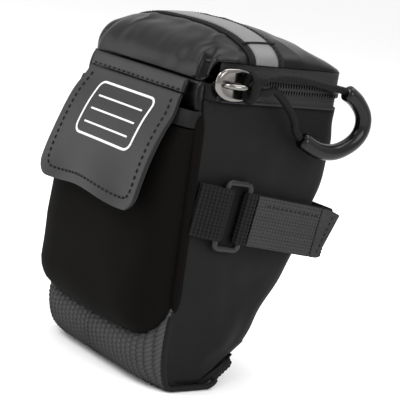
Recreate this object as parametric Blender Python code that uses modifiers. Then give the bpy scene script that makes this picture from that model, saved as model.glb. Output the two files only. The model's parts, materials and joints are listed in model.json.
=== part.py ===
"""Soft wedge pouch with a zipped lid, a front pocket with a flap, and a back strap.

Lengths are written in millimetres and turned into metres by MM. The pouch is
drawn standing on its flat nose at z = 0 with its pocket towards -Y and the zip
pull on its +X side, then shifted so that the origin is the middle of the
strap's inner face behind the pouch, where a belt or a rail holds it.
"""
import math

import bmesh
import bpy
from mathutils import Matrix, Vector

MM = 0.001
GAP = 0.3            # clearance between touching pieces

# Body
HALF = 50.0          # half of the pouch's width
RIM_Z = 139.0        # top of the side panels
FRONT_Y = -18.0      # front panel at the rim
FRONT_LEAN = 4.0     # how far the front panel's foot lies behind its rim
BACK_Y = 64.0
BACK_STRAIGHT_Z = 110.0
BACK_TAPER = 46.4    # how far the back would come forward at z = 0
PANEL = 3.0          # laminated panel
FOAM = 4.5
LINING = 0.8
NOSE_Z = 3.0         # underside of the base panel
NOSE_FRONT_Z = 18.0
NOSE_BACK_Z = 22.0
MITRE = 2.0          # extra room where the base and back panels meet at an angle
INNER_FLOOR_Z = 26.0

# Ribbed wrap round the nose
WRAP = 2.6
WRAP_HALF = 50.5
BINDING = 1.2

# Pocket and flap
POCKET_WALL = 2.5
POCKET_GAP = 0.9
POCKET_TOP_Z = 125.4
HEM_LOW_Z = 126.6
HEM_TOP_Z = 133.4
HEM_WALL = 1.5
PATCH = 1.2
PATCH_HALF = 21.0
FLAP_HINGE = (-24.2, 140.2)
FLAP_HALF_TOP = 39.5
FLAP_HALF = 43.0
FLAP_CORNER = 8.0
VINYL = 1.2
FLAP_LINING = 0.6

# Lid and zip
LID_HINGE = (-19.0, 148.0)
LID_Z = 157.5        # seam between the lid and its zip tape
LID_RISE = 14.5
LID_ACROSS = 2.2     # superellipse powers of the dome, side to side and front to back
LID_ALONG = 1.9
LID_CLEAR = 1.0      # the shell starts this far above the seam, clear of the tape
LID_SHELL = 1.6
LID_CENTRE_Y = 22.7
LID_DEPTH = 41.3     # half of the lid's depth
STRIP_Y = 12.8
STRIP_WIDTH = 20.5
REFLECTOR_WIDTH = 13.0
TAPE = 0.9
TAPE_CORNER = 9.0
COIL = 0.85          # radius of a row of teeth
COIL_LOW_Z = 145.6
COIL_HIGH_Z = 149.2
ZIP_Z = 147.4
ZIP_START_Y = -12.0

# Zip slider and its pull
PLATE_X = (52.4, 53.9)
INNER_PLATE_X = (47.6, 48.8)
PULL_X = 59.4
PULL_PIVOT = (PULL_X, 5.2, 150.0)
CORD = 1.9           # radius of the pull cord
TUBE = 4.0           # radius of the rubber tube

# Strap
STRAP_WIDTH = 25.0
STRAP_SLOPE = math.radians(-8.0)
STRAP_CENTRE = (5.5, 86.5)
WEBBING = 1.2
RING_SIZE = (17.0, 35.0)
RING_BAR = 3.4
RING_TILT = math.radians(-5.0)
RING_PLAY = 1.0      # room between a ring bar and the webbing turned round it
RING_X = (52.5, 55.2)
UNDER_X = 50.9       # face of the webbing that lies on the side panel
STRAP_BACK_Y = 69.0  # inner face of the strap behind the pouch
SEAM_Y = -16.0       # where the webbing is sewn under the pocket's side seam
TAIL_START = 16.6
TAIL_HEM_Y = 57.3
PEEL_AXIS = (57.0, 15.9)

STRAP_REACH = STRAP_BACK_Y - STRAP_CENTRE[0]
ORIGIN = Vector((
    0.0,
    STRAP_CENTRE[0] + STRAP_REACH * math.cos(STRAP_SLOPE),
    STRAP_CENTRE[1] + STRAP_REACH * math.sin(STRAP_SLOPE),
)) * MM


# ---------------------------------------------------------------- helpers

def clear_scene():
    for old in list(bpy.data.objects):
        bpy.data.objects.remove(old, do_unlink=True)


def material(name, colour, roughness, metallic=0.0):
    found = bpy.data.materials.get(name)
    if found:
        return found
    made = bpy.data.materials.new(name)
    made.use_nodes = True
    shader = made.node_tree.nodes["Principled BSDF"]
    shader.inputs["Base Color"].default_value = (*colour, 1.0)
    shader.inputs["Roughness"].default_value = roughness
    shader.inputs["Metallic"].default_value = metallic
    return made


def softshell():
    return material("softshell", (0.018, 0.018, 0.018), 0.9)


def neoprene():
    return material("neoprene", (0.012, 0.011, 0.010), 0.95)


def vinyl():
    return material("vinyl", (0.06, 0.06, 0.062), 0.45)


def coated_nylon():
    return material("coated_nylon", (0.035, 0.035, 0.035), 0.5)


def webbing():
    return material("webbing", (0.02, 0.02, 0.02), 0.85)


def foam():
    return material("foam", (0.08, 0.08, 0.08), 1.0)


def lining_cloth():
    return material("lining_cloth", (0.05, 0.05, 0.05), 0.8)


def knit():
    return material("knit", (0.05, 0.05, 0.05), 0.95)


def nickel():
    return material("nickel", (0.8, 0.77, 0.72), 0.15, 1.0)


def plastic():
    return material("plastic", (0.02, 0.02, 0.022), 0.5)


def rubber():
    return material("rubber", (0.01, 0.01, 0.01), 0.35)


def reflective():
    return material("reflective", (0.3, 0.3, 0.3), 0.5)


class Build:
    """Keeps the collections and the empties that the pieces hang from."""

    def __init__(self):
        self.parts = self.collection("wedge_pouch")
        self.cutters = self.collection("cutters")
        self.frame = self.empty("pouch_frame", None, -ORIGIN)

    def collection(self, name):
        made = bpy.data.collections.new(name)
        bpy.context.scene.collection.children.link(made)
        return made

    def empty(self, name, parent, location):
        made = bpy.data.objects.new(name, None)
        self.parts.objects.link(made)
        made.parent = parent
        made.location = location
        return made

    def joint(self, name, point, parent=None):
        """An empty on a joint's axis; point is in pouch millimetres."""
        made = self.empty(name, parent or self.frame, (0, 0, 0))
        place = Vector(point) * MM
        made["place"] = tuple(place)
        made.location = place - self.place_of(made.parent)
        return made

    def place_of(self, empty):
        return Vector(empty.get("place", (0.0, 0.0, 0.0)))

    def add(self, name, mesh, look, joint=None):
        """A piece drawn in pouch coordinates, hung from its joint."""
        made = bpy.data.objects.new(name, mesh)
        self.parts.objects.link(made)
        made.data.materials.append(look)
        made.parent = joint or self.frame
        made.location = -self.place_of(made.parent)
        return made


def finished(shape, name, smooth=True):
    """Turn a bmesh in millimetres into a mesh in metres."""
    bmesh.ops.scale(shape, vec=(MM, MM, MM), verts=shape.verts)
    mesh = bpy.data.meshes.new(name)
    shape.to_mesh(mesh)
    shape.free()
    if smooth:
        mesh.shade_smooth()
        mesh.set_sharp_from_angle(angle=math.radians(40))
    return mesh


def prism(name, outline, low, high, axis="X"):
    """A closed outline extruded from low to high along X or Z."""
    shape = bmesh.new()
    at = {"X": lambda a, b: (low, a, b), "Z": lambda a, b: (a, b, low)}[axis]
    along = {"X": Vector((1, 0, 0)), "Z": Vector((0, 0, 1))}[axis]
    face = shape.faces.new([shape.verts.new(at(a, b)) for a, b in outline])
    made = bmesh.ops.extrude_face_region(shape, geom=[face])
    moved = [v for v in made["geom"] if isinstance(v, bmesh.types.BMVert)]
    bmesh.ops.translate(shape, verts=moved, vec=along * (high - low))
    bmesh.ops.recalc_face_normals(shape, faces=shape.faces)
    return finished(shape, name)


def lofted(name, rows, closed_base=False):
    """A grid of faces through rows of points, each row as long as the next."""
    shape = bmesh.new()
    grid = [[shape.verts.new(point) for point in row] for row in rows]
    for low, high in zip(grid, grid[1:]):
        for i in range(len(low) - 1):
            shape.faces.new((low[i], low[i + 1], high[i + 1], high[i]))
    if closed_base:
        bmesh.ops.holes_fill(shape, edges=shape.edges, sides=0)
        bmesh.ops.recalc_face_normals(shape, faces=shape.faces)
    return finished(shape, name)


def thicken(piece, thickness, inward=True):
    """Solidify an open surface; inward goes against the surface's normals."""
    modifier = piece.modifiers.new("wall", "SOLIDIFY")
    modifier.thickness = thickness * MM
    modifier.offset = -1.0 if inward else 1.0
    return piece


def soften(piece, width, segments=1):
    modifier = piece.modifiers.new("edges", "BEVEL")
    modifier.width = width * MM
    modifier.segments = segments
    modifier.limit_method = "ANGLE"
    modifier.angle_limit = math.radians(50)
    return piece


def filleted(points, radii, steps=4):
    """A polyline whose inner corners are rounded to the given radii."""
    corners = [Vector(p) for p in points]
    made = [corners[0]]
    for before, corner, after, radius in zip(corners, corners[1:], corners[2:], radii):
        back = (before - corner).normalized()
        on = (after - corner).normalized()
        half = back.angle(on) / 2
        reach = radius / math.tan(half)
        centre = corner + (back + on).normalized() * (radius / math.sin(half))
        start = (corner + back * reach - centre).normalized()
        end = (corner + on * reach - centre).normalized()
        for i in range(steps + 1):
            made.append(centre + radius * start.slerp(end, i / steps))
    made.append(corners[-1])
    return [tuple(p) for p in made]


def offset(path, distance):
    """A polyline moved sideways, to the left of its direction of travel."""
    points = [Vector(p) for p in path]
    made = []
    for i, point in enumerate(points):
        before = (point - points[i - 1]).normalized() if i else None
        after = (points[i + 1] - point).normalized() if i + 1 < len(points) else None
        before = before or after
        after = after or before
        along = (before + after).normalized()
        side = Vector((-along.y, along.x))
        made.append(tuple(point + side * distance / max(along.dot(after), 0.5)))
    return made


def ribbon(path, thickness):
    """The closed outline of a strip that lies to the left of a path."""
    return list(path) + offset(path, thickness)[::-1]


def smooth_route(points, spacing):
    """Points about spacing apart on a smooth curve through the given ones."""
    given = [Vector(p) for p in points]
    padded = [2 * given[0] - given[1], *given, 2 * given[-1] - given[-2]]
    made = []
    for a, b, c, d in zip(padded, padded[1:], padded[2:], padded[3:]):
        count = max(1, round((c - b).length / spacing))
        for i in range(count):
            t = i / count
            made.append(0.5 * (2 * b + (c - a) * t + (2 * a - 5 * b + 4 * c - d) * t * t
                               + (3 * b - a - 3 * c + d) * t ** 3))
    return made + [given[-1]]


def rod(name, route, radius, sides=2):
    """A curve with round section and filled caps, through points in mm."""
    curve = bpy.data.curves.new(name, "CURVE")
    curve.dimensions = "3D"
    curve.bevel_depth = radius * MM
    curve.bevel_resolution = sides
    curve.use_fill_caps = True
    spline = curve.splines.new("POLY")
    spline.points.add(len(route) - 1)
    for point, place in zip(spline.points, route):
        point.co = (*(Vector(place) * MM), 1.0)
    return curve


def between(value, table):
    """Straight interpolation in a short table of (key, value) pairs."""
    for (a, low), (b, high) in zip(table, table[1:]):
        if value <= b:
            return low + (high - low) * (value - a) / (b - a)
    return table[-1][1]


def arc_share(angle, power):
    """Cosine and sine of a superellipse, which bulges more than a circle."""
    c, s = math.cos(angle), math.sin(angle)
    return (math.copysign(abs(c) ** (2 / power), c), abs(s) ** (2 / power))


# ---------------------------------------------------------------- body

def front_y(z):
    return FRONT_Y + FRONT_LEAN * (RIM_Z - z) / RIM_Z


def back_y(z):
    return BACK_Y - BACK_TAPER * max(0.0, 1 - z / BACK_STRAIGHT_Z) ** 1.5


def back_heights(low, count=12):
    """Heights up the back, closest together where it curves."""
    curve = [low + (BACK_STRAIGHT_Z - low) * i / count for i in range(count + 1)]
    return curve + [RIM_Z]


def inset_back(z, inset):
    """The back's place, moved inward square to its slope."""
    slope = (back_y(z + 0.5) - back_y(z - 0.5))
    return back_y(z) - inset * math.hypot(1.0, slope)


def nose_path():
    """Round the nose from the front panel's foot to the back panel's."""
    corners = [
        (front_y(NOSE_FRONT_Z), NOSE_FRONT_Z),
        (front_y(NOSE_Z), NOSE_Z),
        (8.5, NOSE_Z),
        (back_y(NOSE_BACK_Z), NOSE_BACK_Z),
    ]
    return filleted(corners, (7.0, 8.0))


def side_outline():
    back = [(back_y(z), z) for z in back_heights(NOSE_BACK_Z)[1:]]
    return [(FRONT_Y, RIM_Z)] + nose_path() + back


def inner_outline(inset, floor, top):
    """The compartment's outline with a flat floor, inset from the body."""
    heights = [z for z in back_heights(floor, 8) if z < top] + [top]
    front = [(front_y(top) + inset, top), (front_y(floor) + inset, floor)]
    return front + [(inset_back(z, inset), z) for z in heights]


def make_body(build):
    outline = side_outline()
    build.add("right_side_panel", prism("right_side_panel", outline, HALF - PANEL, HALF),
              softshell())
    build.add("left_side_panel", prism("left_side_panel", outline, -HALF, PANEL - HALF),
              softshell())
    inside = HALF - PANEL - GAP
    front = [(FRONT_Y, RIM_Z), (front_y(NOSE_FRONT_Z + GAP), NOSE_FRONT_Z + GAP)]
    build.add("front_panel", prism("front_panel", ribbon(front, PANEL), -inside, inside),
              softshell())
    back = [(back_y(z), z) for z in back_heights(NOSE_BACK_Z + MITRE)]
    build.add("back_panel", prism("back_panel", ribbon(back, PANEL), -inside, inside),
              softshell())
    build.add("base_panel", prism("base_panel", ribbon(nose_path(), PANEL), -inside, inside),
              softshell())


def make_padding(build):
    inside = HALF - PANEL - GAP
    skin = PANEL + GAP
    top = RIM_Z - 1.0
    side = inner_outline(skin, INNER_FLOOR_Z, top)
    for name, low in (("side_foam_right", inside - FOAM), ("side_foam_left", -inside)):
        build.add(name, prism(name, side, low, low + FOAM), foam())
    narrow = inside - FOAM - GAP
    front = [(front_y(z) + skin, z) for z in (top, INNER_FLOOR_Z)]
    build.add("front_foam", prism("front_foam", ribbon(front, FOAM), -narrow, narrow), foam())
    heights = [z for z in back_heights(INNER_FLOOR_Z, 8) if z < top] + [top]
    back = [(inset_back(z, skin), z) for z in heights]
    build.add("back_foam", prism("back_foam", ribbon(back, FOAM), -narrow, narrow), foam())
    stiffener = [(front_y(20) + skin + 1, 20), (inset_back(20, skin) - 4, 20),
                 (inset_back(23, skin) - 3, 23), (front_y(23) + skin + 1, 23)]
    build.add("base_stiffener", prism("base_stiffener", stiffener, -inside, inside), plastic())


def make_lining(build):
    """An open bag inside the foam."""
    half = HALF - PANEL - FOAM - 3 * GAP
    outline = inner_outline(PANEL + FOAM + 2 * GAP, INNER_FLOOR_Z + 3, RIM_Z - 1.0)
    mesh = prism("inner_lining", outline, -half, half)
    shape = bmesh.new()
    shape.from_mesh(mesh)
    lid_faces = [f for f in shape.faces if f.normal.z > 0.9]
    bmesh.ops.delete(shape, geom=lid_faces, context="FACES")
    shape.to_mesh(mesh)
    shape.free()
    thicken(build.add("inner_lining", mesh, lining_cloth()), LINING)


# ---------------------------------------------------------------- wrap

WRAP_MIDDLE = ((-28.2, 22.6), (-27.6, 14.0), (-23.8, 6.0), (-16.5, 1.5))
WRAP_EDGE = ((-19.2, 22.6), (-18.8, 14.0), (-17.2, 6.0), (-13.8, 1.6))
WRAP_BELOW = ((-10.0, 0.0), (7.5, 0.0), (11.2, 1.1), (14.3, 3.6))
WRAP_END = ((15.1, 3.9), (23.4, 11.3))


def make_wrap(build):
    """A ribbed panel from the pocket's foot, under the nose and up the back."""
    columns = 12
    rows = []
    for middle, edge in list(zip(WRAP_MIDDLE, WRAP_EDGE)) + [(p, p) for p in WRAP_BELOW]:
        row = []
        for i in range(columns + 1):
            x = WRAP_HALF * (1 - 2 * i / columns)
            share = abs(x / WRAP_HALF) ** 8
            y, z = Vector(middle).lerp(Vector(edge), share)
            row.append((x, y, z))
        rows.append(row)
    thicken(build.add("ribbed_wrap", lofted("ribbed_wrap", rows), webbing()), WRAP)
    edge = list(WRAP_EDGE) + list(WRAP_BELOW)
    low = WRAP_HALF + GAP
    for name, start in (("wrap_binding_right", low), ("wrap_binding_left", -low - BINDING)):
        build.add(name, prism(name, ribbon(edge, WRAP), start, start + BINDING), webbing())
    end = ribbon(WRAP_END, WRAP)
    build.add("wrap_end_tab", prism("wrap_end_tab", end, -HALF, HALF), webbing())


# ---------------------------------------------------------------- pocket

POCKET_BULGE = ((23.2, 1.0), (23.6, 9.0), (26.0, 15.0), (31.0, 20.0), (38.0, 22.4),
                (64.0, 21.6), (90.0, 17.8), (105.0, 15.5), (115.0, 12.5), (125.4, 8.5),
                (133.4, 5.2))
POCKET_CORNER = 18.0
POCKET_POWER = 4.6   # superellipse power of the pocket in plan


def pocket_half(z):
    """Half of the pocket's width, which rounds in at its foot."""
    drop = POCKET_BULGE[0][0] + POCKET_CORNER - z
    if drop <= 0:
        return HALF
    return HALF - POCKET_CORNER + math.sqrt(max(0.0, POCKET_CORNER ** 2 - drop ** 2))


def pocket_y(z):
    return front_y(z) - POCKET_GAP - between(z, POCKET_BULGE)


def pocket_rows(heights, proud=0.0, columns=16):
    rows = []
    for z in heights:
        row = []
        for i in range(columns + 1):
            across, out = arc_share(math.pi * (1 - i / columns), POCKET_POWER)
            depth = between(z, POCKET_BULGE) + proud
            row.append((across * pocket_half(z), front_y(z) - POCKET_GAP - depth * out, z))
        rows.append(row)
    return rows


def make_pocket(build):
    heights = [z for z, _ in POCKET_BULGE[:-2]] + [POCKET_TOP_Z]
    rows = pocket_rows(heights)
    thicken(build.add("pocket_pouch", lofted("pocket_pouch", rows), neoprene()), POCKET_WALL)
    rows = pocket_rows((HEM_LOW_Z, (HEM_LOW_Z + HEM_TOP_Z) / 2, HEM_TOP_Z), 0.4)
    thicken(build.add("pocket_hem", lofted("pocket_hem", rows), webbing()), HEM_WALL)
    face = [(pocket_y(z) - GAP, z) for z in (112, 104, 96, 88)]
    patch = list(face) + [(y - PATCH, z) for y, z in face[::-1]]
    build.add("pocket_loop_patch", prism("pocket_loop_patch", patch, -PATCH_HALF, PATCH_HALF),
              knit())


# ---------------------------------------------------------------- flap

FLAP_PATH = ((-24.2, 140.0), (-27.6, 132.5), (-32.2, 124.0), (-36.6, 113.5), (-39.8, 103.0),
             (-41.6, 94.0), (-42.2, 88.0), (-42.3, 84.5))


def flap_half(z):
    """Half of the flap's width: it flares below the band and rounds at its foot."""
    half = between(140.0 - z, ((0.0, FLAP_HALF_TOP), (9.0, FLAP_HALF), (60.0, FLAP_HALF)))
    rise = z - FLAP_PATH[-1][1]
    if rise >= FLAP_CORNER:
        return half
    return half - FLAP_CORNER + math.sqrt(FLAP_CORNER ** 2 - (FLAP_CORNER - rise) ** 2)


def flap_rows(depth, margin):
    path = offset(FLAP_PATH, depth)
    rows = []
    for (_, level), (y, z) in zip(FLAP_PATH, path):
        half = flap_half(level) - margin
        rows.append([(half * (1 - i / 4), y, z) for i in range(9)])
    return rows


def make_flap(build, joint):
    band = [(-20.4, 147.0), (-21.9, 147.0), (-23.8, 140.5), (-21.2, 140.5)]
    soften(build.add("flap_band", prism("flap_band", band, -FLAP_HALF_TOP, FLAP_HALF_TOP),
                     vinyl()), 0.4)
    outer = build.add("flap_outer", lofted("flap_outer", flap_rows(0.0, 0.0)), vinyl(), joint)
    thicken(outer, VINYL)
    rows = flap_rows(VINYL + GAP, 0.6)
    inner = build.add("flap_lining", lofted("flap_lining", rows), lining_cloth(), joint)
    thicken(inner, FLAP_LINING)
    under = offset(FLAP_PATH, VINYL + FLAP_LINING + 2 * GAP)[4:7]
    patch = ribbon(under, PATCH)
    build.add("flap_hook_patch", prism("flap_hook_patch", patch, -PATCH_HALF, PATCH_HALF),
              plastic(), joint)


# ---------------------------------------------------------------- lid

def dome_rows(half, depth, rise, base, rows=14, columns=18):
    made = []
    for j in range(rows + 1):
        along, height = arc_share(math.pi * (1 - j / rows), LID_ALONG)
        y = LID_CENTRE_Y + depth * along
        made.append([])
        for i in range(columns + 1):
            across, up = arc_share(math.pi * (1 - i / columns), LID_ACROSS)
            made[-1].append((half * across, y, base + rise * height * up))
    return made


def strip_rows(width, lift):
    """A band over the lid from one zip tape to the other."""
    columns = 24
    place = abs(STRIP_Y - LID_CENTRE_Y) / LID_DEPTH
    height = (1 - place ** LID_ALONG) ** (1 / LID_ALONG)
    rows = []
    for i in range(columns + 1):
        across, up = arc_share(math.pi * i / columns, LID_ACROSS)
        x = (HALF + lift) * across
        z = LID_Z + LID_CLEAR + ((LID_RISE - LID_CLEAR) * height + lift) * up
        rows.append([(x, STRIP_Y + width * side, z) for side in (-0.5, 0.5)])
    return rows


def make_lid(build, joint):
    rows = dome_rows(HALF, LID_DEPTH, LID_RISE - LID_CLEAR, LID_Z + LID_CLEAR)
    shell = build.add("lid_shell", lofted("lid_shell", rows), coated_nylon(), joint)
    thicken(shell, LID_SHELL)
    rows = dome_rows(HALF - 4.6, LID_DEPTH - 4.6, LID_RISE - 3.6, LID_Z + GAP, 12, 14)
    build.add("lid_foam", lofted("lid_foam", rows, closed_base=True), foam(), joint)
    skirt = [(-19.0, 148.6), (-17.9, 148.6), (-17.9, LID_Z - GAP), (-19.0, LID_Z - GAP)]
    build.add("lid_skirt", prism("lid_skirt", skirt, 4 - HALF, HALF - 4), coated_nylon(), joint)
    cloth = [(-15.5, LID_Z - 1.0), (BACK_Y - 5, LID_Z - 1.0), (BACK_Y - 5, LID_Z - GAP),
             (-15.5, LID_Z - GAP)]
    build.add("lid_lining", prism("lid_lining", cloth, 4 - HALF, HALF - 4), lining_cloth(), joint)
    border = build.add("strip_webbing", lofted("strip_webbing", strip_rows(STRIP_WIDTH, 1.7)),
                       webbing(), joint)
    thicken(border, 0.9)
    strip = build.add("reflective_strip", lofted("reflective_strip",
                                                 strip_rows(REFLECTOR_WIDTH, 2.5)),
                      reflective(), joint)
    thicken(strip, 0.5)


# ---------------------------------------------------------------- zip

def zip_plan(outward):
    """Round three sides of the rim in plan, from right front to left front."""
    reach = HALF + outward
    back = BACK_Y + outward
    corners = [(reach, ZIP_START_Y - 4), (reach, back), (-reach, back), (-reach, ZIP_START_Y - 4)]
    return filleted(corners, (TAPE_CORNER + outward,) * 2, 6)


def make_zip(build, lid_joint):
    plan = ribbon(zip_plan(0.0), TAPE)
    build.add("lower_zip_tape",
              prism("lower_zip_tape", plan, RIM_Z + GAP, COIL_LOW_Z + COIL, "Z"), webbing())
    build.add("upper_zip_tape",
              prism("upper_zip_tape", plan, COIL_HIGH_Z - COIL, LID_Z - GAP, "Z"),
              webbing(), lid_joint)
    teeth = zip_plan(GAP + COIL)[1:-1]
    ends = [(teeth[0][0], ZIP_START_Y), *teeth, (teeth[-1][0], ZIP_START_Y)]
    for name, z, joint in (("lower_zip_coil", COIL_LOW_Z, None),
                           ("upper_zip_coil", COIL_HIGH_Z, lid_joint)):
        build.add(name, rod(name, [(x, y, z) for x, y in ends], COIL), plastic(), joint)
    for name, side in (("zip_stop_right", 1), ("zip_stop_left", -1)):
        low, high = sorted((side * (HALF + GAP), side * (HALF + 2.0)))
        stop = [(ZIP_START_Y - 3.2, COIL_LOW_Z - 1), (ZIP_START_Y - 1.2, COIL_LOW_Z - 1),
                (ZIP_START_Y - 1.2, COIL_LOW_Z + 1), (ZIP_START_Y - 3.2, COIL_LOW_Z + 1)]
        build.add(name, prism(name, stop, low, high), nickel())


def shield(front, back, height, middle):
    """A rounded slider plate in side view, fullest at middle."""
    count = 20
    made = []
    for i in range(count):
        angle = 2 * math.pi * i / count
        reach = (back - middle) if math.cos(angle) > 0 else (middle - front)
        y = middle + reach * math.cos(angle)
        made.append((y, ZIP_Z + height / 2 * math.sin(angle)))
    return made


def join(target, others):
    """Weld other meshes onto the target with an exact union."""
    for other in others:
        modifier = target.modifiers.new("weld", "BOOLEAN")
        modifier.operation = "UNION"
        modifier.solver = "EXACT"
        modifier.object = other
        other.hide_render = True
        other.display_type = "WIRE"


def make_slider(build, joint):
    body = build.add("slider_body", prism("slider_body", shield(-15.5, 3.5, 14.0, -7.0),
                                          *PLATE_X), nickel(), joint)
    inner = prism("inner_plate", shield(-14.5, 1.0, 9.0, -8.0), *INNER_PLATE_X)
    block = [(-14.0, ZIP_Z - 0.55), (-11.0, ZIP_Z - 0.55), (-11.0, ZIP_Z + 0.55),
             (-14.0, ZIP_Z + 0.55)]
    post = prism("slider_post", block, INNER_PLATE_X[1] - 0.4, PLATE_X[0] + 0.4)
    cutters = []
    for mesh in (post, inner):
        cutter = bpy.data.objects.new(mesh.name, mesh)
        build.cutters.objects.link(cutter)
        cutter.parent = joint
        cutter.location = -build.place_of(joint)
        cutters.append(cutter)
    join(body, cutters)
    foot = PLATE_X[1] + GAP
    arch = filleted([(foot, -11.0), (PULL_X + 0.2, -9.5), (PULL_X + 0.2, -1.2), (foot, 0.2)],
                    (2.5, 2.5))
    build.add("slider_bridge", rod("slider_bridge", [(x, y, ZIP_Z) for x, y in arch], 0.9),
              nickel(), joint)
    radius = 3.1
    loop = [(PULL_X + radius * math.cos(a), -5.4, ZIP_Z + radius * math.sin(a))
            for a in (2 * math.pi * i / 16 for i in range(16))]
    bight = rod("pull_bight", loop, 1.7)
    bight.splines[0].use_cyclic_u = True
    build.add("pull_bight", bight, webbing(), joint)


UPPER_STRAND = ((56.2, 150.0), (44.0, 151.6), (28.0, 153.6), (17.0, 153.6), (12.2, 152.4))
LOWER_STRAND = ((11.0, 150.2), (12.8, 147.8), (17.5, 144.8), (23.6, 139.6), (28.0, 134.0),
                (29.8, 129.4), (33.4, 126.0))
TUBE_ROUTE = ((56.8, 149.7), (64.6, 145.4), (70.4, 138.6), (70.8, 131.0), (65.6, 124.6),
              (56.0, 120.4), (45.4, 120.9), (34.0, 125.6))


def make_pull(build, knot_joint, pull_joint):
    shape = bmesh.new()
    bmesh.ops.create_uvsphere(shape, u_segments=14, v_segments=9, radius=3.2)
    bmesh.ops.translate(shape, verts=shape.verts, vec=PULL_PIVOT)
    build.add("pull_knot", finished(shape, "pull_knot"), webbing(), knot_joint)
    route = [(PULL_X, y, z) for y, z in UPPER_STRAND + LOWER_STRAND]
    build.add("pull_cord", rod("pull_cord", smooth_route(route, 4.0), CORD), webbing(),
              pull_joint)
    route = [(PULL_X, y, z) for y, z in TUBE_ROUTE]
    build.add("pull_tube", rod("pull_tube", smooth_route(route, 5.0), TUBE, 3), rubber(),
              pull_joint)


# ---------------------------------------------------------------- strap

def tilt_to_strap(mesh, angle=STRAP_SLOPE):
    pivot = Matrix.Translation(Vector((0, *STRAP_CENTRE)) * MM)
    mesh.transform(pivot @ Matrix.Rotation(angle, 4, "X") @ pivot.inverted())


def on_strap(build, name, outline, look, width=STRAP_WIDTH, joint=None):
    """A strip drawn in plan, then tilted to the strap's slope."""
    z = STRAP_CENTRE[1]
    mesh = prism(name, outline, z - width / 2, z + width / 2, "Z")
    tilt_to_strap(mesh)
    return build.add(name, mesh, look, joint)


def rounded_box(low, high, radius):
    """A rectangle with round corners as a closed outline."""
    middle = ((low[0] + high[0]) / 2, low[1])
    corners = [middle, (high[0], low[1]), high, (low[0], high[1]), low, middle]
    return filleted(corners, (radius,) * 4)[:-1]


def make_ring(build):
    y, z = STRAP_CENTRE
    wide, tall = RING_SIZE
    outer = rounded_box((y - wide / 2, z - tall / 2), (y + wide / 2, z + tall / 2), 3.6)
    mesh = prism("strap_ring", outer, *RING_X)
    tilt_to_strap(mesh, RING_TILT)
    ring = build.add("strap_ring", mesh, plastic())
    wide, tall = wide - 2 * RING_BAR, tall - 2 * RING_BAR
    inner = rounded_box((y - wide / 2, z - tall / 2), (y + wide / 2, z + tall / 2), 1.2)
    mesh = prism("ring_hole", inner, 50.0, 58.0)
    tilt_to_strap(mesh, RING_TILT)
    hole = bpy.data.objects.new("ring_hole", mesh)
    build.cutters.objects.link(hole)
    hole.parent = build.frame
    hole.hide_render = True
    hole.display_type = "WIRE"
    cut = ring.modifiers.new("slot", "BOOLEAN")
    cut.operation = "DIFFERENCE"
    cut.solver = "EXACT"
    cut.object = hole
    soften(ring, 0.5)


def make_strap(build, tail_joint):
    """Webbing sewn under the pocket's seams, round the ring and round the back."""
    under = UNDER_X + WEBBING
    over = RING_X[1] + GAP
    slot_front = STRAP_CENTRE[0] - RING_SIZE[0] / 2 + RING_BAR + RING_PLAY
    slot_back = STRAP_CENTRE[0] + RING_SIZE[0] / 2 - RING_BAR - RING_PLAY
    anchor = filleted([(under, SEAM_Y), (under, slot_front), (over, slot_front), (over, -5.0),
                       (53.6, SEAM_Y)], (0.8, 0.8, 3.0))
    on_strap(build, "anchor_webbing", ribbon(anchor, WEBBING), webbing())
    outside = STRAP_BACK_Y + WEBBING
    strap = filleted([(over, TAIL_START - 1.2), (over, slot_back), (under, slot_back),
                      (under, outside), (-under, outside), (-under, SEAM_Y)],
                     (0.8, 0.8, 5.0, 5.0))
    on_strap(build, "back_strap", ribbon(strap, WEBBING), webbing())
    field = (under + GAP, under + GAP + 0.8)
    hooks = (field[1] + GAP, field[1] + GAP + 0.8)
    lying = hooks[1] + GAP
    on_strap(build, "strap_loop_field", rounded_box((field[0], 20.0), (field[1], 58.0), 0.3),
             knit(), STRAP_WIDTH - 2)
    on_strap(build, "tail_hook_pad", rounded_box((hooks[0], 27.0), (hooks[1], 55.0), 0.3),
             plastic(), STRAP_WIDTH - 3, tail_joint)
    tail = [(lying, TAIL_HEM_Y - GAP), (lying, TAIL_START + 8), (over, TAIL_START)]
    on_strap(build, "strap_tail", ribbon(tail, WEBBING), knit(), STRAP_WIDTH - 0.4, tail_joint)
    z = STRAP_CENTRE[1]
    hem = [(TAIL_HEM_Y, z - 12.2), (62.4, z - 12.0), (69.3, z + 10.8), (64.0, z + 12.0),
           (TAIL_HEM_Y, z + 12.2)]
    mesh = prism("tail_hem", hem, lying - 0.4, lying + WEBBING + 0.8)
    tilt_to_strap(mesh)
    soften(build.add("tail_hem", mesh, webbing(), tail_joint), 0.4)


def main():
    clear_scene()
    build = Build()
    make_body(build)
    make_padding(build)
    make_lining(build)
    make_wrap(build)
    make_pocket(build)
    make_flap(build, build.joint("flap_hinge", (0, *FLAP_HINGE)))
    lid = build.joint("lid_hinge", (0, *LID_HINGE))
    make_lid(build, lid)
    make_zip(build, lid)
    slider = build.joint("zip_slide", (PLATE_X[0], -6.0, ZIP_Z))
    make_slider(build, slider)
    knot = build.joint("pull_flip", PULL_PIVOT, slider)
    make_pull(build, knot, build.joint("pull_droop", PULL_PIVOT, knot))
    make_ring(build)
    y, z = STRAP_CENTRE
    down = (PEEL_AXIS[1] - y) * math.tan(STRAP_SLOPE)
    peel = (PEEL_AXIS[0], PEEL_AXIS[1], z + down)
    make_strap(build, build.joint("strap_peel", peel))


main()
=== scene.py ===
"""Looks of a soft wedge pouch: padded fabric, a zipped lid, a vinyl flap and a webbing strap.

Lengths are in millimetres in the pouch's own frame and turned into the CAD frame by at().
"""

import json
import math

import bmesh
import bpy
from mathutils import Matrix, Vector, noise


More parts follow.
